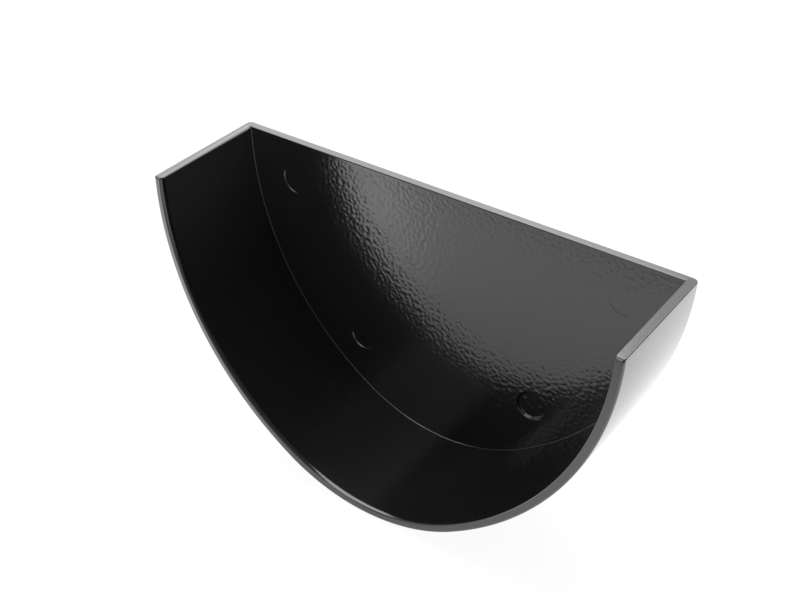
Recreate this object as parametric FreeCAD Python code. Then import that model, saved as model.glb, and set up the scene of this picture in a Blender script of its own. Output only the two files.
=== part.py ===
"""Cast end cap for a deep half-round rain gutter.

One die-cast aluminium piece: a flat end plate with a wall all round its oval edge.
The gutter's end slides into the open mouth, between the walls, until it meets the plate.

Frame, in millimetres: X runs across the gutter, Y along it and out through the plate, Z up.
The origin lies on the plate's inner face, at the centre of the section's bottom arc.
"""

import FreeCAD
import Part

import os
from math import asin, atan2, cos, pi, radians, sin, sqrt, tan

# Outside of the section, at the mouth
CAP_WIDTH = 123.0
CAP_HEIGHT = 73.4
BOTTOM_RADIUS = 45.0
RIM_LEAN = 0.9  # degrees that the wall stands off upright, where it meets the rim

# Length along the gutter, and the thickness of the casting
CAP_LENGTH = 35.0
PLATE = 2.3
WALL = 2.3
DRAFT = 0.4  # degrees of casting draft: the walls come in from the mouth to the plate

# Rounding of the casting's edges and of the corner between the plate and the walls
RIM_ROUND = 0.5
PLATE_ROUND = 0.8
CORNER_FILLET = 0.8
LARGEST_ROUND = 0.4  # share of the wall that the rounding of its edge may take

# Round sunk marks of the four ejector pins, on the plate's inner face
MARK_DIAMETER = 8.0
MARK_DEPTH = 0.3
MARK_SLOPE = 45.0  # degrees of the mark's softened edge
UPPER_MARK_DROP = 10.4  # below the rim
UPPER_MARK_INSET = 15.6  # inside the outer wall, measured across
LOWER_MARK_RISE = 24.4  # above the lowest point
LOWER_MARK_INSET = 19.3

# A cut runs this far past the face that it opens
OVERRUN = 1.0

# Places that follow from the sizes
MOUTH_Y = PLATE - CAP_LENGTH
RIM_Z = CAP_HEIGHT - BOTTOM_RADIUS
LOWEST_Z = -BOTTOM_RADIUS
HALF_WIDTH = CAP_WIDTH / 2
LEAN = radians(RIM_LEAN)
ALONG = FreeCAD.Vector(0, 1, 0)
LEVEL = FreeCAD.Vector(1, 0, 0)

# The side arc leaves the rim at its lean and runs on smoothly into the bottom arc.
SIDE_RADIUS = (HALF_WIDTH**2 + RIM_Z**2 - BOTTOM_RADIUS**2) / (
    2 * (HALF_WIDTH * cos(LEAN) - RIM_Z * sin(LEAN) - BOTTOM_RADIUS)
)
SIDE_X = HALF_WIDTH - SIDE_RADIUS * cos(LEAN)
SIDE_Z = RIM_Z + SIDE_RADIUS * sin(LEAN)

# Angles down from level: where a side arc meets the bottom arc, and where it ends above the rim
MEET_ANGLE = atan2(SIDE_Z, -SIDE_X)
TOP_ANGLE = -asin(OVERRUN / SIDE_RADIUS)


def draft_at(y):
    """How far the walls have come in at y, counted from the mouth."""
    return (y - MOUTH_Y) * tan(radians(DRAFT))


def half_width_at(z):
    """Half the outside width of the mouth, at height z on the side arc."""
    return SIDE_X + sqrt(SIDE_RADIUS**2 - (z - SIDE_Z) ** 2)


def arc(y, centre_x, centre_z, radius, start, end):
    """Arc in the plane at y, between two angles down from level."""
    circle = Part.Circle(FreeCAD.Vector(centre_x, y, centre_z), ALONG, radius)
    circle.XAxis = LEVEL
    return Part.ArcOfCircle(circle, start, end)


def section(y, inset):
    """Closed oval outline at y, inset inside the mouth's outline and running on above the rim."""
    side = SIDE_RADIUS - inset
    bottom = BOTTOM_RADIUS - inset
    right = arc(y, SIDE_X, SIDE_Z, side, TOP_ANGLE, MEET_ANGLE)
    below = arc(y, 0, 0, bottom, MEET_ANGLE, pi - MEET_ANGLE)
    left = arc(y, -SIDE_X, SIDE_Z, side, pi - MEET_ANGLE, pi - TOP_ANGLE)
    level = Part.LineSegment(left.EndPoint, right.StartPoint)
    return Part.Wire([curve.toShape() for curve in (right, below, left, level)])


def drafted_block(start_y, end_y, inset):
    """Solid between two outlines, inset inside the outer wall and following its draft."""
    outlines = [section(y, inset + draft_at(y)) for y in (start_y, end_y)]
    return Part.makeLoft(outlines, True, True)


def round_edges(shape, y):
    """The arcs of the outline that lies in the plane at y."""
    in_plane = [e for e in shape.Edges if all(abs(v.Point.y - y) < 1e-6 for v in e.Vertexes)]
    return [e for e in in_plane if e.Curve.TypeId == "Part::GeomCircle"]


def outer_block():
    """The whole outside of the casting, with the plate's outer edge rounded."""
    block = drafted_block(MOUTH_Y, PLATE, 0.0)
    return block.makeFillet(min(PLATE_ROUND, PLATE - RIM_ROUND), round_edges(block, PLATE))


def socket():
    """The room for the gutter's end, open at the mouth and above the rim."""
    room = drafted_block(MOUTH_Y - OVERRUN, 0.0, WALL)
    return room.makeFillet(CORNER_FILLET, round_edges(room, 0.0))


def above_rim():
    """All the space above the rim."""
    corner = FreeCAD.Vector(-CAP_WIDTH, -CAP_LENGTH - OVERRUN, RIM_Z)
    return Part.makeBox(2 * CAP_WIDTH, 2 * CAP_LENGTH, CAP_HEIGHT, corner)


def open_edges(casting):
    """Edges of the level rim and of the mouth's end face."""
    rim = [e for e in casting.Edges if all(abs(v.Point.z - RIM_Z) < 1e-6 for v in e.Vertexes)]
    return rim + round_edges(casting, MOUTH_Y)


def pin_mark(x, z):
    """One sunk mark: a shallow round dish with a sloping edge, cut into the plate's inner face."""
    slope = tan(radians(MARK_SLOPE))
    start_radius = MARK_DIAMETER / 2 + OVERRUN / slope
    floor_radius = MARK_DIAMETER / 2 - MARK_DEPTH / slope
    start = FreeCAD.Vector(x, -OVERRUN, z)
    return Part.makeCone(start_radius, floor_radius, OVERRUN + MARK_DEPTH, start, ALONG)


def pin_marks():
    """The four marks, in mirrored pairs."""
    marks = []
    upper = (RIM_Z - UPPER_MARK_DROP, UPPER_MARK_INSET)
    lower = (LOWEST_Z + LOWER_MARK_RISE, LOWER_MARK_INSET)
    for z, inset in (upper, lower):
        x = half_width_at(z) - inset
        marks += [pin_mark(x, z), pin_mark(-x, z)]
    return marks


def end_cap():
    """The finished casting."""
    casting = outer_block().cut([socket(), above_rim()])
    casting = casting.makeFillet(min(RIM_ROUND, LARGEST_ROUND * WALL), open_edges(casting))
    return casting.cut(pin_marks()).Solids[0]


os.makedirs("parts", exist_ok=True)
cap = end_cap()
cap.exportStep("parts/end_cap.step")
print("end_cap valid", cap.isValid(), "volume mm3", round(cap.Volume, 1))
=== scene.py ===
"""Looks of a cast end cap for a deep half-round rain gutter, on its CAD frame.

The cap is one die-cast aluminium piece with a black powder coat: a flat end plate with a wall round
its oval edge, open at the mouth and at the rim. X runs across the gutter, Y along it and out through
the plate, Z up. Sizes are in millimetres and turn to metres where a mesh is made.
"""

import logging
import math
from dataclasses import dataclass
from enum import Enum

import bmesh
import bpy
from mathutils import Euler, Matrix, Quaternion, Vector

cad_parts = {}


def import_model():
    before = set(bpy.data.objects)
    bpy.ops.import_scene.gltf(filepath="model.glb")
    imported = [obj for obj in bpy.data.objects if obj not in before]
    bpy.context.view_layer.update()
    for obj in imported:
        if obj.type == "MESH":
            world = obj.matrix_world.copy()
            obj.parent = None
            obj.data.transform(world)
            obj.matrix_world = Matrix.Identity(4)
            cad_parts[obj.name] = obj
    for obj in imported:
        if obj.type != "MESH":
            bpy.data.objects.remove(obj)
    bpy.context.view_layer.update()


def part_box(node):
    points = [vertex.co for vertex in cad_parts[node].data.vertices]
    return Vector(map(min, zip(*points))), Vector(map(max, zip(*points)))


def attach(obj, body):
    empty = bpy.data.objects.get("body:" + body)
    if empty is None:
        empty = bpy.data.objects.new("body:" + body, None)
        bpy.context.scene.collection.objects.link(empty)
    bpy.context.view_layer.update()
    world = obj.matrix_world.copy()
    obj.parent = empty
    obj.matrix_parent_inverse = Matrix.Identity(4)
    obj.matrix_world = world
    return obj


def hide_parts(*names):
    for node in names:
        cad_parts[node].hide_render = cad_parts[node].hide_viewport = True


MM = 0.001
IMAGE_WIDTH = 800

# Distances in metres: a vertex this near lies on a plane, and vertices this near are one
ON_PLANE = 1e-7
MERGED = 1e-6

# Shares of a normal along an axis: a face square to it, and one that still faces along it
SQUARE = 0.99
FACING = 0.5

# Watts for each square metre of a lamp, at a brightness of 1
LAMP_POWER = 4.0

log = logging.getLogger("end_cap")


class Edge(Enum):
    """Edges of the plate that are rounded before the rim is cut."""

    CORNER = "inside corner between plate and wall"
    BACK = "outer edge of the plate"


class Stretch(Enum):
    """Stretches of the casting that have a coat of their own, in the order of the coats."""

    PLATE = 0
    WALLS = 1
    MOUTH = 2
    SOCKET = 3


def linear(hex_colour: str) -> tuple[float, float, float, float]:
    """Turns an sRGB hex colour to linear.

    Args:
        hex_colour: Colour such as "#1a1a1a".

    Returns:
        Linear red, green and blue, with full alpha.
    """
    shares = [int(hex_colour[i : i + 2], 16) / 255 for i in (1, 3, 5)]
    red, green, blue = [s / 12.92 if s <= 0.04045 else ((s + 0.055) / 1.055) ** 2.4 for s in shares]
    return red, green, blue, 1.0


def add_node(
    tree: bpy.types.NodeTree, kind: str, inputs: dict | None = None, **settings: object
) -> bpy.types.Node:
    """Adds a node with its settings, and sets or links its inputs.

    Args:
        tree: Node tree that gets the node.
        kind: Blender's name for the kind of node.
        inputs: Value or source socket for each input, by name or number.
        settings: Properties of the node.

    Returns:
        The new node.
    """
    node = tree.nodes.new(kind)
    for name, value in settings.items():
        setattr(node, name, value)
    for name, value in (inputs or {}).items():
        if isinstance(value, bpy.types.NodeSocket):
            tree.links.new(value, node.inputs[name])
        else:
            node.inputs[name].default_value = value
    return node


def new_tree(owner: bpy.types.ID) -> bpy.types.NodeTree:
    """Gives a material or world an empty node tree.

    Args:
        owner: Material or world.

    Returns:
        Its node tree.
    """
    owner.use_nodes = True
    owner.node_tree.nodes.clear()
    return owner.node_tree


def outward(azimuth: float, elevation: float) -> Vector:
    """Works out the direction from the cap to a lamp, the camera or a place on the floor.

    Args:
        azimuth: Degrees round the cap, from straight in front of the mouth to the right.
        elevation: Degrees up from level.

    Returns:
        Direction of length 1.
    """
    around, up = math.radians(azimuth), math.radians(elevation)
    return Vector((math.sin(around) * math.cos(up), -math.cos(around) * math.cos(up), math.sin(up)))


def looking_back(way: Vector, turn: float) -> Euler:
    """Turns a lamp or camera to look back to the cap.

    Args:
        way: Direction from the cap.
        turn: Degrees about the line of sight.

    Returns:
        The rotation.
    """
    level = (-way).to_track_quat("-Z", "Y")
    return (level @ Quaternion((0, 0, 1), math.radians(turn))).to_euler()


@dataclass(frozen=True)
class PowderCoat:
    """Black polyester powder coat, sprayed on the casting and baked until it flowed.

    It gives the eye a deep black with sharp reflections that ripple, because the melted powder keeps
    a fine orange peel. Where the gloss is turned down towards the right, the dimmer reflections are
    painted shade.
    """

    side: str
    colour: str = "#0d0d0d"
    roughness: float = 0.17
    ior: float = 1.52
    gloss: float = 0.5

    # Places across the cap between which the gloss falls, as painted shade on the reflections
    shade_start: float = 12.0
    shade_end: float = 31.0
    shaded_gloss: float = 0.5

    # Waves of the peel, finer ripples on them, and the smooth stretch along the mouth and the rim
    peel_size: float = 1.05
    peel_height: float = 0.08
    peel_detail: float = 0.5
    grain_size: float = 0.45
    grain_height: float = 0.004
    edge_width: float = 1.2

    def gloss_across(
        self, tree: bpy.types.NodeTree, spot: bpy.types.Node
    ) -> float | bpy.types.NodeSocket:
        """Gives the coat's gloss, which may fall to the right, as painted shade on its reflections.

        Args:
            tree: Node tree of the coat.
            spot: Node that splits up the place on the piece.

        Returns:
            One number for an even gloss, or else the socket that carries the change.
        """
        if self.shaded_gloss == self.gloss:
            return self.gloss
        fall = add_node(
            tree,
            "ShaderNodeMapRange",
            {
                "Value": spot.outputs["X"],
                "From Min": self.shade_start * MM,
                "From Max": self.shade_end * MM,
                "To Min": self.gloss,
                "To Max": self.shaded_gloss,
            },
        )
        return fall.outputs["Result"]

    def material(self, mouth_y: float, rim_z: float) -> bpy.types.Material:
        """Builds the coat, which flows smooth along the mouth and the rim.

        Args:
            mouth_y: Place of the mouth's end face.
            rim_z: Height of the rim.

        Returns:
            The material.
        """
        material = bpy.data.materials.new(f"black powder coat, baked, {self.side}")
        tree = new_tree(material)
        place = add_node(tree, "ShaderNodeTexCoord")
        spot = add_node(tree, "ShaderNodeSeparateXYZ", {"Vector": place.outputs["Object"]})
        from_mouth = add_node(
            tree,
            "ShaderNodeMapRange",
            {
                "Value": spot.outputs["Y"],
                "From Min": (mouth_y + self.edge_width / 2) * MM,
                "From Max": (mouth_y + self.edge_width) * MM,
            },
        )
        from_rim = add_node(
            tree,
            "ShaderNodeMapRange",
            {
                "Value": spot.outputs["Z"],
                "From Min": (rim_z - self.edge_width / 2) * MM,
                "From Max": (rim_z - self.edge_width) * MM,
            },
        )
        inside = add_node(
            tree,
            "ShaderNodeMath",
            {0: from_mouth.outputs["Result"], 1: from_rim.outputs["Result"]},
            operation="MINIMUM",
        )
        peel = add_node(
            tree,
            "ShaderNodeTexNoise",
            {
                "Vector": place.outputs["Object"],
                "Scale": 1 / (self.peel_size * MM),
                "Detail": self.peel_detail,
            },
        )
        grain = add_node(
            tree,
            "ShaderNodeTexNoise",
            {
                "Vector": place.outputs["Object"],
                "Scale": 1 / (self.grain_size * MM),
                "Detail": 0.0,
            },
        )
        waves = add_node(
            tree,
            "ShaderNodeBump",
            {
                "Height": peel.outputs["Fac"],
                "Distance": self.peel_height * MM,
                "Strength": inside.outputs["Value"],
            },
        )
        ripples = add_node(
            tree,
            "ShaderNodeBump",
            {
                "Height": grain.outputs["Fac"],
                "Distance": self.grain_height * MM,
                "Normal": waves.outputs["Normal"],
            },
        )
        coat = add_node(
            tree,
            "ShaderNodeBsdfPrincipled",
            {
                "Base Color": linear(self.colour),
                "Roughness": self.roughness,
                "Specular IOR Level": self.gloss_across(tree, spot),
                "IOR": self.ior,
                "Normal": ripples.outputs["Normal"],
            },
        )
        add_node(tree, "ShaderNodeOutputMaterial", {"Surface": coat.outputs["BSDF"]})
        return material


@dataclass(frozen=True)
class PinMark:
    """Round mark of an ejector pin, sunk into the plate's inner face with a soft edge."""

    x: float
    z: float
    depth: float
    edge: float
    radius: float = 4.0
    segments: int = 64
    rings: int = 6

    def draw(self, bm: bmesh.types.BMesh) -> list[bmesh.types.BMEdge]:
        """Draws the mark's round edge in the plate's face.

        Args:
            bm: Mesh of the casting.

        Returns:
            Edges of the circle.
        """
        place = Matrix.Translation(Vector((self.x, 0, self.z)) * MM)
        upright = Matrix.Rotation(math.pi / 2, 4, "X")
        circle = bmesh.ops.create_circle(
            bm, segments=self.segments, radius=self.radius * MM, matrix=place @ upright
        )
        return list({e for v in circle["verts"] for e in v.link_edges})

    def sink(self, bm: bmesh.types.BMesh, ring: list[bmesh.types.BMEdge]) -> None:
        """Sinks the mark ring by ring and closes its floor.

        Args:
            bm: Mesh of the casting.
            ring: Edges of the circle, in the plate's face.
        """
        centre = Matrix.Translation(Vector((-self.x, 0, -self.z)) * MM)
        radius, depth = self.radius, 0.0
        for step in range(1, self.rings + 1):
            share = step / self.rings
            new_radius = self.radius - self.edge * share
            new_depth = self.depth * (1 - math.cos(math.pi * share)) / 2
            grown = bmesh.ops.extrude_edge_only(bm, edges=ring)["geom"]
            verts = [g for g in grown if isinstance(g, bmesh.types.BMVert)]
            shrink = new_radius / radius
            bmesh.ops.scale(bm, vec=Vector((shrink, 1, shrink)), space=centre, verts=verts)
            bmesh.ops.translate(bm, vec=Vector((0, (new_depth - depth) * MM, 0)), verts=verts)
            edges = [g for g in grown if isinstance(g, bmesh.types.BMEdge)]
            ring = [e for e in edges if all(v in verts for v in e.verts)]
            radius, depth = new_radius, new_depth
        bmesh.ops.contextual_create(bm, geom=ring)


@dataclass
class EndCap:
    """The casting, swept round its three arcs, cut at the rim and rounded.

    The places of the mouth, the rim, the lowest point and the plate's outside come from the frame.
    """

    mouth_y: float
    plate_y: float
    rim_z: float
    bottom_radius: float

    # Section of the wall, and the roundings of the plate
    half_width: float = 61.5
    rim_lean: float = 0.9
    wall: float = 2.3
    draft: float = 0.4
    corner_fillet: float = 0.22
    back_round: float = 1.2

    # Mouth: its outer rounding, its lead-in, and how much of the lead-in each side has
    mouth_round: float = 0.7
    lead_in_width: float = 0.65
    lead_in_depth: float = 1.5
    left_lead_in: float = 1.1
    right_lead_in: float = 0.5

    # Rim: roundings along its outline, its slope on the right, and its two tips at the mouth
    left_outer_round: float = 0.25
    left_inner_round: float = 1.2
    right_outer_round: float = 0.4
    right_inner_round: float = 0.12
    plate_edge_round: float = 0.28
    right_slope: float = 4.0
    tip_round: float = 0.25
    tip_length: float = 3.0
    left_tip_wear: float = 0.45
    right_tip_wear: float = 0.9

    marks: tuple[PinMark, ...] = (
        PinMark(x=-45.0, z=18.0, depth=0.2, edge=0.3),
        PinMark(x=45.8, z=18.0, depth=0.035, edge=0.3),
        PinMark(x=-24.2, z=-21.0, depth=0.22, edge=0.4),
        PinMark(x=25.0, z=-21.1, depth=0.5, edge=0.7),
    )
    coats: tuple[PowderCoat, ...] = (
        PowderCoat("on the plate"),
        PowderCoat("on the walls", peel_height=0.01),
        # The mouth's end face has a lighter grey coat: painted light that lifts the end face's tone
        PowderCoat("drawn thin on the mouth's end", colour="#262626", peel_height=0.01),
        # Inside the walls the gloss falls towards the right: painted shade that dims the reflections
        # there
        PowderCoat("inside the walls", peel_height=0.01, shaded_gloss=0.03),
    )

    # How far the sweep runs on above the rim, how finely the mesh is cut, and how it is shaded
    overrun: float = 1.5
    sweep_step: float = 0.8
    round_segments: int = 6
    mouth_segments: int = 12
    sharp_angle: float = 45.0
    flat_weight: int = 100

    @classmethod
    def on_frame(cls, node: str) -> "EndCap":
        """Takes the main places from a CAD node.

        Args:
            node: Name of the CAD node.

        Returns:
            The casting at that node's place.
        """
        low, high = (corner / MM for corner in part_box(node))
        return cls(mouth_y=low.y, plate_y=high.y, rim_z=high.z, bottom_radius=-low.z)

    def side_arc(self) -> tuple[float, float, float]:
        """Works out the side arc, which runs from the rim, at its lean, smoothly into the bottom arc.

        Returns:
            X and Z of the right-hand arc's centre, and its radius.
        """
        lean = math.radians(self.rim_lean)
        gap = self.half_width**2 + self.rim_z**2 - self.bottom_radius**2
        reach = self.half_width * math.cos(lean) - self.rim_z * math.sin(lean) - self.bottom_radius
        radius = gap / (2 * reach)
        return self.half_width - radius * math.cos(lean), self.rim_z + radius * math.sin(lean), radius

    def wall_section(self) -> list[tuple[float, float]]:
        """Draws the wall's section, from the plate's inside corner round the mouth to its outside.

        The mouth's inner edge is a long lead-in for the gutter, and its outer edge is plainly rounded.

        Returns:
            Inset from the outer wall, and Y, of each point.
        """
        slope = math.tan(math.radians(self.draft))
        turns = [math.pi / 2 * step / self.mouth_segments for step in range(self.mouth_segments + 1)]
        points = [(self.wall - self.mouth_y * slope, 0.0)]
        for turn in turns:
            inset = self.wall - self.lead_in_width * (1 - math.cos(turn))
            points.append((inset, self.mouth_y + self.lead_in_depth * (1 - math.sin(turn))))
        for turn in turns:
            inset = self.mouth_round * (1 - math.sin(turn))
            points.append((inset, self.mouth_y + self.mouth_round * (1 - math.cos(turn))))
        return points + [((self.plate_y - self.mouth_y) * slope, self.plate_y)]

    def sweep_section(self, bm: bmesh.types.BMesh) -> None:
        """Sweeps the wall's section from the left, round the bottom, to the right.

        Args:
            bm: Mesh that gets the wall.
        """
        side_x, side_z, radius = self.side_arc()
        meet = math.atan2(side_z, -side_x)
        top = -math.asin(self.overrun / radius) + math.asin((side_z - self.rim_z) / radius)
        section = []
        for inset, y in self.wall_section():
            reach = radius - inset
            x = -side_x - reach * math.cos(top)
            z = side_z - reach * math.sin(top)
            section.append(bm.verts.new(Vector((x, y, z)) * MM))
        lines = [bm.edges.new(pair) for pair in zip(section, section[1:])]
        arcs = (
            (-side_x, side_z, radius, meet - top),
            (0.0, 0.0, self.bottom_radius, math.pi - 2 * meet),
            (side_x, side_z, radius, meet - top),
        )
        last = section + lines
        for x, z, arc_radius, angle in arcs:
            swept = bmesh.ops.spin(
                bm,
                geom=last,
                cent=Vector((x, 0, z)) * MM,
                axis=Vector((0, -1, 0)),
                angle=angle,
                steps=round(arc_radius * angle / self.sweep_step),
            )
            last = swept["geom_last"]

    def wear_lead_in(self, bm: bmesh.types.BMesh) -> None:
        """Makes the mouth's lead-in larger towards the left and smaller towards the right.

        Args:
            bm: Mesh of the swept wall.
        """
        side_x, side_z, radius = self.side_arc()
        meet = math.atan2(side_z, -side_x)
        for vert in bm.verts:
            place = vert.co / MM
            on_bottom = math.atan2(-place.z, abs(place.x)) > meet
            centre = Vector((0, place.y, 0))
            if not on_bottom:
                centre = Vector((math.copysign(-side_x, -place.x), place.y, side_z))
            reach = (place - centre).length
            inset = (self.bottom_radius if on_bottom else radius) - reach
            depth = place.y - self.mouth_y
            share = min(max((place.x + self.half_width) / (2 * self.half_width), 0.0), 1.0)
            growth = self.left_lead_in + (self.right_lead_in - self.left_lead_in) * share - 1
            lead_in = self.wall - self.lead_in_width
            if depth < self.lead_in_depth + MERGED / MM and inset > lead_in - MERGED / MM:
                place += (centre - place) / reach * growth * (inset - self.wall)
                place.y += growth * depth
                vert.co = place * MM

    def close_plate(self, bm: bmesh.types.BMesh, y: float) -> None:
        """Closes the oval in the plane at y, for the plate's inner or outer face.

        Args:
            bm: Mesh with the swept wall.
            y: Place of the face.
        """
        open_edges = [e for e in bm.edges if e.is_boundary]
        oval = [e for e in open_edges if all(abs(v.co.y - y * MM) < ON_PLANE for v in e.verts)]
        corners = {v for e in oval for v in e.verts}
        top = bm.edges.new([v for v in corners if sum(e in oval for e in v.link_edges) == 1])
        bmesh.ops.contextual_create(bm, geom=oval + [top])

    def rim_round(self, x: float, y: float) -> float:
        """Tells how far the rim is rounded, which differs along its outline.

        Args:
            x: Place across the gutter, on the outline of the cut.
            y: Place along the gutter.

        Returns:
            Radius of the rounding.
        """
        share = (x + self.half_width) / (2 * self.half_width)
        outer = self.left_outer_round + (self.right_outer_round - self.left_outer_round) * share
        inner = self.left_inner_round if x < 0 else self.right_inner_round
        if y > ON_PLANE / MM:
            return outer
        if y > -self.corner_fillet - ON_PLANE / MM:
            return self.plate_edge_round + (inner - self.plate_edge_round) * -y / self.corner_fillet
        drawn_in = (y - self.mouth_y) * math.tan(math.radians(self.draft))
        inset = self.half_width - drawn_in - abs(x)
        along = outer + (inner - outer) * min(max(inset / self.wall, 0.0), 1.0)
        from_tip = min((y - self.mouth_y) / self.tip_length, 1.0)
        return self.tip_round + (along - self.tip_round) * from_tip

    def cut_rim(self, bm: bmesh.types.BMesh) -> list[bmesh.types.BMEdge]:
        """Cuts the casting where the rim's rounding starts.

        Args:
            bm: Mesh of the casting, which runs on above the rim.

        Returns:
            Edges of the open cut.
        """
        up, level = Vector((0, 0, 1)), Vector((0, 0, (self.rim_z - self.left_inner_round) * MM))
        everything = bm.verts[:] + bm.edges[:] + bm.faces[:]
        cut = bmesh.ops.bisect_plane(
            bm, geom=everything, dist=ON_PLANE, plane_co=level, plane_no=up, clear_outer=True
        )
        edges = [g for g in cut["geom_cut"] if isinstance(g, bmesh.types.BMEdge)]
        lid = bmesh.ops.contextual_create(bm, geom=edges)["faces"]
        bmesh.ops.recalc_face_normals(bm, faces=bm.faces)
        bmesh.ops.delete(bm, geom=lid, context="FACES_ONLY")
        return edges

    def round_rim(self, bm: bmesh.types.BMesh, ring: list[bmesh.types.BMEdge]) -> None:
        """Raises the rounded rim from the cut, ring by ring, and closes it.

        Args:
            bm: Mesh of the casting, cut where the rim's rounding starts.
            ring: Edges of the open cut.
        """
        starts = {}
        for vert in {v for e in ring for v in e.verts}:
            ways = [-e.link_faces[0].normal for e in vert.link_edges if e in ring]
            ways = [Vector((w.x, w.y, 0)).normalized() for w in ways]
            inward = (ways[0] + ways[1]) / (1 + ways[0].dot(ways[1]))
            reach = self.rim_round(vert.co.x / MM, vert.co.y / MM) * MM
            starts[vert] = (vert.co.copy(), inward, reach)
            vert.co.z = self.rim_z * MM - reach
        for step in range(1, self.round_segments + 1):
            turn = math.pi / 2 * step / self.round_segments
            grown = bmesh.ops.extrude_edge_only(bm, edges=ring)["geom"]
            fresh = {g for g in grown if isinstance(g, bmesh.types.BMVert)}
            for vert in fresh:
                below = next(v for e in vert.link_edges for v in e.verts if v not in fresh)
                start, inward, reach = starts[vert] = starts[below]
                vert.co = start + inward * reach * (1 - math.cos(turn))
                vert.co.z = self.rim_z * MM - reach * (1 - math.sin(turn))
            ring = [g for g in grown if isinstance(g, bmesh.types.BMEdge) and fresh.issuperset(g.verts)]
        bmesh.ops.contextual_create(bm, geom=ring)

    def wear_tips(self, bm: bmesh.types.BMesh) -> None:
        """Rounds the rim's two tips down to the mouth's end.

        Args:
            bm: Mesh of the casting, with its rounded rim.
        """
        self.wear_tip(bm, -1, self.left_tip_wear * MM)
        self.wear_tip(bm, 1, self.right_tip_wear * MM)

    def wear_tip(self, bm: bmesh.types.BMesh, side: int, size: float) -> None:
        """Rounds one of the rim's tips down to the mouth's end.

        Args:
            bm: Mesh of the casting, with its rounded rim.
            side: 1 for the right-hand tip, -1 for the left-hand one.
            size: Radius of the rounding, in metres.
        """
        corner = Vector((0, self.mouth_y, self.rim_z)) * MM
        for step in range(1, self.mouth_segments + 1):
            for way in (Vector((0, 1, 0)), Vector((0, 0, -1))):
                near = [v for v in bm.verts if max(v.co.y - corner.y, corner.z - v.co.z) < size]
                faces = {f for v in near if v.co.x * side > 0 for f in v.link_faces}
                bmesh.ops.bisect_plane(
                    bm,
                    geom=list({g for f in faces for g in (*f.verts, *f.edges, f)}),
                    dist=ON_PLANE,
                    plane_co=corner + way * size * step / self.mouth_segments,
                    plane_no=way,
                )
        for vert in bm.verts:
            inside = Vector((size - vert.co.y + corner.y, size - corner.z + vert.co.z))
            if vert.co.x * side > 0 and min(inside) > 0:
                moved = inside * (1 - max(inside) / inside.length)
                vert.co += Vector((0, moved.x, -moved.y))

    def slope_rim(self, bm: bmesh.types.BMesh) -> None:
        """Slopes the rim out over the right-hand wall.

        Args:
            bm: Mesh of the casting, with its rounded rim.
        """
        low, high = (self.rim_z - self.left_inner_round) * MM + MERGED, self.rim_z * MM - MERGED
        hinge = (self.half_width - self.wall - self.corner_fillet) * MM
        faces = [f for f in bm.faces if all(v.co.z > high for v in f.verts)]
        geom = list({g for f in faces for g in (*f.verts, *f.edges, f)})
        bmesh.ops.bisect_plane(
            bm, geom=geom, dist=ON_PLANE, plane_co=Vector((hinge, 0, 0)), plane_no=Vector((1, 0, 0))
        )
        for vert in bm.verts:
            if vert.co.z > low and vert.co.x > hinge:
                vert.co.z -= (vert.co.x - hinge) * math.tan(math.radians(self.right_slope))

    def round_edges(self, bm: bmesh.types.BMesh, edge: Edge) -> None:
        """Rounds one of the plate's edges, all round the oval.

        Args:
            bm: Mesh of the casting.
            edge: Edge to round.
        """
        y, offset = 0.0, self.corner_fillet
        if edge is Edge.BACK:
            y, offset = self.plate_y, self.back_round
        angle = math.radians(self.sharp_angle)
        sharp = [e for e in bm.edges if e.is_manifold and e.calc_face_angle() > angle]
        bmesh.ops.bevel(
            bm,
            geom=[e for e in sharp if all(abs(v.co.y - y * MM) < ON_PLANE for v in e.verts)],
            offset=offset * MM,
            offset_type="OFFSET",
            affect="EDGES",
            segments=self.round_segments,
            profile=0.5,
            material=-1,
            clamp_overlap=False,
        )

    def sink_marks(self, bm: bmesh.types.BMesh) -> None:
        """Sinks the round marks of the ejector pins into the plate's inner face.

        Args:
            bm: Mesh of the casting.
        """
        face = max((f for f in bm.faces if f.normal.y < -SQUARE), key=lambda f: f.calc_area())
        outline = face.edges[:]
        bmesh.ops.delete(bm, geom=[face], context="FACES_ONLY")
        rings = [mark.draw(bm) for mark in self.marks]
        edges = outline + [e for ring in rings for e in ring]
        bmesh.ops.triangle_fill(bm, use_beauty=True, edges=edges, normal=Vector((0, -1, 0)))
        for mark, ring in zip(self.marks, rings):
            mark.sink(bm, ring)

    def stretch(self, face: bmesh.types.BMFace) -> Stretch:
        """Tells which stretch of the casting a face belongs to.

        Args:
            face: Face of the finished mesh.

        Returns:
            The stretch.
        """
        middle = face.calc_center_median()
        if face.normal.y <= -FACING:
            return Stretch.MOUTH if middle.y < self.mouth_y / 2 * MM else Stretch.PLATE
        inward = face.normal.x * middle.x + face.normal.z * (middle.z - self.rim_z * MM) < 0
        return Stretch.SOCKET if inward and middle.y < 0 else Stretch.WALLS

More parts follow.
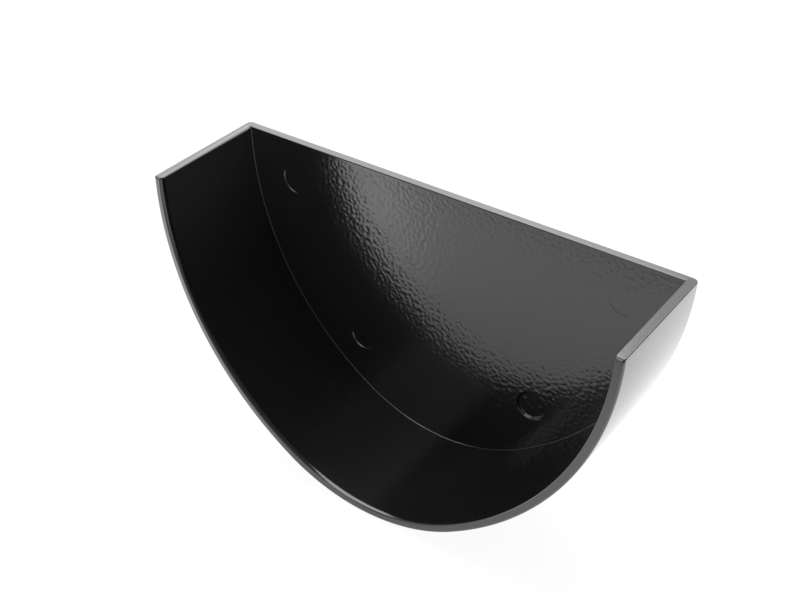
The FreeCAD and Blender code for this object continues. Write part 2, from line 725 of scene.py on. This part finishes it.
    def build(self) -> bpy.types.Object:
        """Builds and dresses the casting, in place of its CAD node.

        Returns:
            The finished piece.
        """
        bm = bmesh.new()
        self.sweep_section(bm)
        bmesh.ops.remove_doubles(bm, verts=bm.verts, dist=MERGED)
        self.wear_lead_in(bm)
        self.close_plate(bm, 0.0)
        self.close_plate(bm, self.plate_y)
        self.round_edges(bm, Edge.CORNER)
        self.round_edges(bm, Edge.BACK)
        self.round_rim(bm, self.cut_rim(bm))
        self.wear_tips(bm)
        self.slope_rim(bm)
        self.sink_marks(bm)
        bmesh.ops.recalc_face_normals(bm, faces=bm.faces)
        for face in bm.faces:
            face.smooth = True
            face.material_index = self.stretch(face).value
        mesh = bpy.data.meshes.new("casting")
        bm.to_mesh(mesh)
        bm.free()
        piece = bpy.data.objects.new("casting", mesh)
        bpy.context.scene.collection.objects.link(piece)
        for coat in self.coats:
            piece.data.materials.append(coat.material(self.mouth_y, self.rim_z))
        normals = piece.modifiers.new("flat faces stay flat", "WEIGHTED_NORMAL")
        normals.mode = "FACE_AREA"
        normals.weight = self.flat_weight
        normals.keep_sharp = True
        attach(piece, "root")
        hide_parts("end_cap")
        return piece


@dataclass(frozen=True)
class SoftBox:
    """Rectangular studio lamp that faces the cap."""

    name: str
    azimuth: float
    elevation: float
    distance: float
    width: float
    height: float
    brightness: float
    turn: float = 0.0

    def place(self) -> bpy.types.Object:
        """Puts the lamp in the studio.

        Returns:
            The lamp.
        """
        lamp = bpy.data.lights.new(self.name, "AREA")
        lamp.shape = "RECTANGLE"
        lamp.size = self.width * MM
        lamp.size_y = self.height * MM
        lamp.energy = LAMP_POWER * self.brightness * lamp.size * lamp.size_y
        holder = bpy.data.objects.new(self.name, lamp)
        way = outward(self.azimuth, self.elevation)
        holder.location = way * self.distance * MM
        holder.rotation_euler = looking_back(way, self.turn)
        bpy.context.scene.collection.objects.link(holder)
        return holder


@dataclass
class Studio:
    """White floor that runs out of the picture, a dim room and soft lamps."""

    floor_z: float
    floor_size: float = 6000.0
    floor_colour: str = "#f4f4f4"
    floor_white: float = 0.94
    room_colour: str = "#ffffff"
    room: float = 0.3

    # Brightness of the floor in the coat's reflections, near the cap and farther away; the dimmer floor
    # near the cap is painted shade, standing in for the cap's own shadow
    near_reach: float = 40.0
    near_glow: float = 1.1
    far_reach: float = 150.0
    far_glow: float = 2.4

    # Fall of that brightness in front of the mouth, as painted shade, and its rise on the left, as a
    # painted pool of light
    front_turn: float = 5.0
    front_start: float = 95.0
    front_end: float = 150.0
    front_share: float = 0.25
    left_turn: float = -127.0
    left_start: float = -1.0
    left_end: float = 9.0
    left_gain: float = 1.6

    lamps: tuple[SoftBox, ...] = (
        SoftBox("soft box behind on the left", -142.0, 24.0, 1000.0, 640.0, 890.0, 2.9),
        SoftBox("wide soft box behind", 167.0, 25.0, 1000.0, 950.0, 900.0, 1.8),
        SoftBox("soft box high behind", 158.0, 45.0, 1100.0, 600.0, 260.0, 3.6),
        SoftBox("wide soft box overhead", -127.5, 70.0, 1060.0, 1350.0, 920.0, 5.4, turn=22.5),
        SoftBox("soft box over the mouth", -4.0, 45.0, 1100.0, 950.0, 200.0, 2.1),
        SoftBox("dim soft box in front", -8.0, 15.0, 1000.0, 420.0, 560.0, 2.2),
        SoftBox("dim wide soft box on the left", -88.0, 20.0, 1000.0, 1450.0, 700.0, 0.6),
    )

    @staticmethod
    def ramp(
        tree: bpy.types.NodeTree, turn: float, start: float, end: float, share: float
    ) -> bpy.types.Node:
        """Adds a change of brightness across the floor.

        Args:
            tree: Node tree of the floor's paint.
            turn: Direction of the change, in degrees to the right from straight in front.
            start: Distance from the origin at which it starts.
            end: Distance from the origin at which it ends.
            share: Brightness past the end, where 1 is no change.

        Returns:
            The node that gives the brightness.
        """
        place = add_node(tree, "ShaderNodeTexCoord")
        reach = add_node(
            tree,
            "ShaderNodeVectorMath",
            {0: place.outputs["Object"], 1: outward(turn, 0.0)},
            operation="DOT_PRODUCT",
        )
        return add_node(
            tree,
            "ShaderNodeMapRange",
            {
                "Value": reach.outputs["Value"],
                "From Min": start * MM,
                "From Max": end * MM,
                "To Min": 1.0,
                "To Max": share,
            },
        )

    def floor_paint(self) -> bpy.types.Material:
        """Builds the floor's white, which keeps a share of plain paint for the cap's shadow.

        It gives the eye an even white, and gives the coat's reflections a floor with painted light and
        shade: dimmer near the cap and in front of the mouth, brighter farther out and on the left.

        Returns:
            The material.
        """
        material = bpy.data.materials.new("white studio floor, painted")
        tree = new_tree(material)
        path = add_node(tree, "ShaderNodeLightPath")
        paint = add_node(tree, "ShaderNodeBsdfDiffuse", {"Color": linear(self.floor_colour)})
        place = add_node(tree, "ShaderNodeTexCoord")
        reach = add_node(
            tree, "ShaderNodeVectorMath", {0: place.outputs["Object"]}, operation="LENGTH"
        )
        glow = add_node(
            tree,
            "ShaderNodeMapRange",
            {
                "Value": reach.outputs["Value"],
                "From Min": self.near_reach * MM,
                "From Max": self.far_reach * MM,
                "To Min": self.near_glow,
                "To Max": self.far_glow,
            },
        )
        # Painted shade in front of the mouth and a painted pool of light on the left, seen only in
        # reflections
        painted_front_shade = self.ramp(tree, self.front_turn, self.front_start, self.front_end, self.front_share)
        painted_left_light = self.ramp(tree, self.left_turn, self.left_start, self.left_end, self.left_gain)
        faded = add_node(
            tree,
            "ShaderNodeMath",
            {0: glow.outputs["Result"], 1: painted_front_shade.outputs["Result"]},
            operation="MULTIPLY",
        )
        gained = add_node(
            tree,
            "ShaderNodeMath",
            {0: faded.outputs["Value"], 1: painted_left_light.outputs["Result"]},
            operation="MULTIPLY",
        )
        strength = add_node(
            tree,
            "ShaderNodeMapRange",
            {"Value": path.outputs["Is Glossy Ray"], "To Min": 1.0, "To Max": gained.outputs["Value"]},
        )
        white = add_node(tree, "ShaderNodeEmission", {"Strength": strength.outputs["Result"]})
        seen = add_node(
            tree,
            "ShaderNodeMath",
            {0: path.outputs["Is Camera Ray"], 1: path.outputs["Is Glossy Ray"]},
            operation="MAXIMUM",
        )
        through = add_node(
            tree,
            "ShaderNodeMath",
            {0: seen.outputs["Value"], 1: path.outputs["Is Transmission Ray"]},
            operation="MAXIMUM",
        )
        share = add_node(
            tree,
            "ShaderNodeMath",
            {0: through.outputs["Value"], 1: self.floor_white},
            operation="MULTIPLY",
        )
        mix = add_node(
            tree,
            "ShaderNodeMixShader",
            {0: share.outputs["Value"], 1: paint.outputs["BSDF"], 2: white.outputs["Emission"]},
        )
        add_node(tree, "ShaderNodeOutputMaterial", {"Surface": mix.outputs["Shader"]})
        return material

    def lay_floor(self) -> bpy.types.Object:
        """Lays the floor under the cap.

        Returns:
            The floor.
        """
        bm = bmesh.new()
        place = Matrix.Translation(Vector((0, 0, self.floor_z * MM)))
        bmesh.ops.create_grid(
            bm, x_segments=1, y_segments=1, size=self.floor_size * MM / 2, matrix=place
        )
        mesh = bpy.data.meshes.new("floor")
        bm.to_mesh(mesh)
        bm.free()
        floor = bpy.data.objects.new("floor", mesh)
        floor.data.materials.append(self.floor_paint())
        bpy.context.scene.collection.objects.link(floor)
        return floor

    def light_room(self) -> None:
        """Fills the room with even dim light, and puts in the lamps."""
        world = bpy.data.worlds.new("studio room")
        tree = new_tree(world)
        air = add_node(
            tree, "ShaderNodeBackground", {"Color": linear(self.room_colour), "Strength": self.room}
        )
        add_node(tree, "ShaderNodeOutputWorld", {"Surface": air.outputs["Background"]})
        bpy.context.scene.world = world
        for lamp in self.lamps:
            lamp.place()


@dataclass(frozen=True)
class PhotoCamera:
    """Camera at the photograph's viewing angle, where the roll turns the picture clockwise."""

    azimuth: float = 33.93
    elevation: float = 34.64
    roll: float = 1.08
    distance: float = 336.2
    aim_x: float = -3.85
    aim_y: float = -14.24
    aim_z: float = 4.08
    focal_pixels: float = 1440.1
    nearest: float = 10.0

    def place(self) -> bpy.types.Object:
        """Sets up the camera and makes it the scene's own.

        Returns:
            The camera.
        """
        camera = bpy.data.cameras.new("camera")
        camera.sensor_fit = "HORIZONTAL"
        camera.lens = self.focal_pixels * camera.sensor_width / IMAGE_WIDTH
        camera.clip_start = self.nearest * MM
        holder = bpy.data.objects.new("camera", camera)
        way = outward(self.azimuth, self.elevation)
        aim = Vector((self.aim_x, self.aim_y, self.aim_z))
        holder.location = (aim + way * self.distance) * MM
        holder.rotation_euler = looking_back(way, self.roll)
        bpy.context.scene.collection.objects.link(holder)
        bpy.context.scene.camera = holder
        return holder


def main() -> None:
    """Builds the cap on its frame, sets up the studio and the camera, and logs what it made."""
    logging.basicConfig(level=logging.INFO, format="%(message)s")
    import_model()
    bpy.context.scene.view_settings.view_transform = "Standard"
    cap = EndCap.on_frame("end_cap")
    piece = cap.build()
    log.info("%s: %d faces", piece.name, len(piece.data.polygons))
    studio = Studio(floor_z=-cap.bottom_radius)
    log.info("%s: laid at %.1f mm", studio.lay_floor().name, studio.floor_z)
    studio.light_room()
    log.info("%s: set up", PhotoCamera().place().name)


if __name__ == "__main__":
    main()
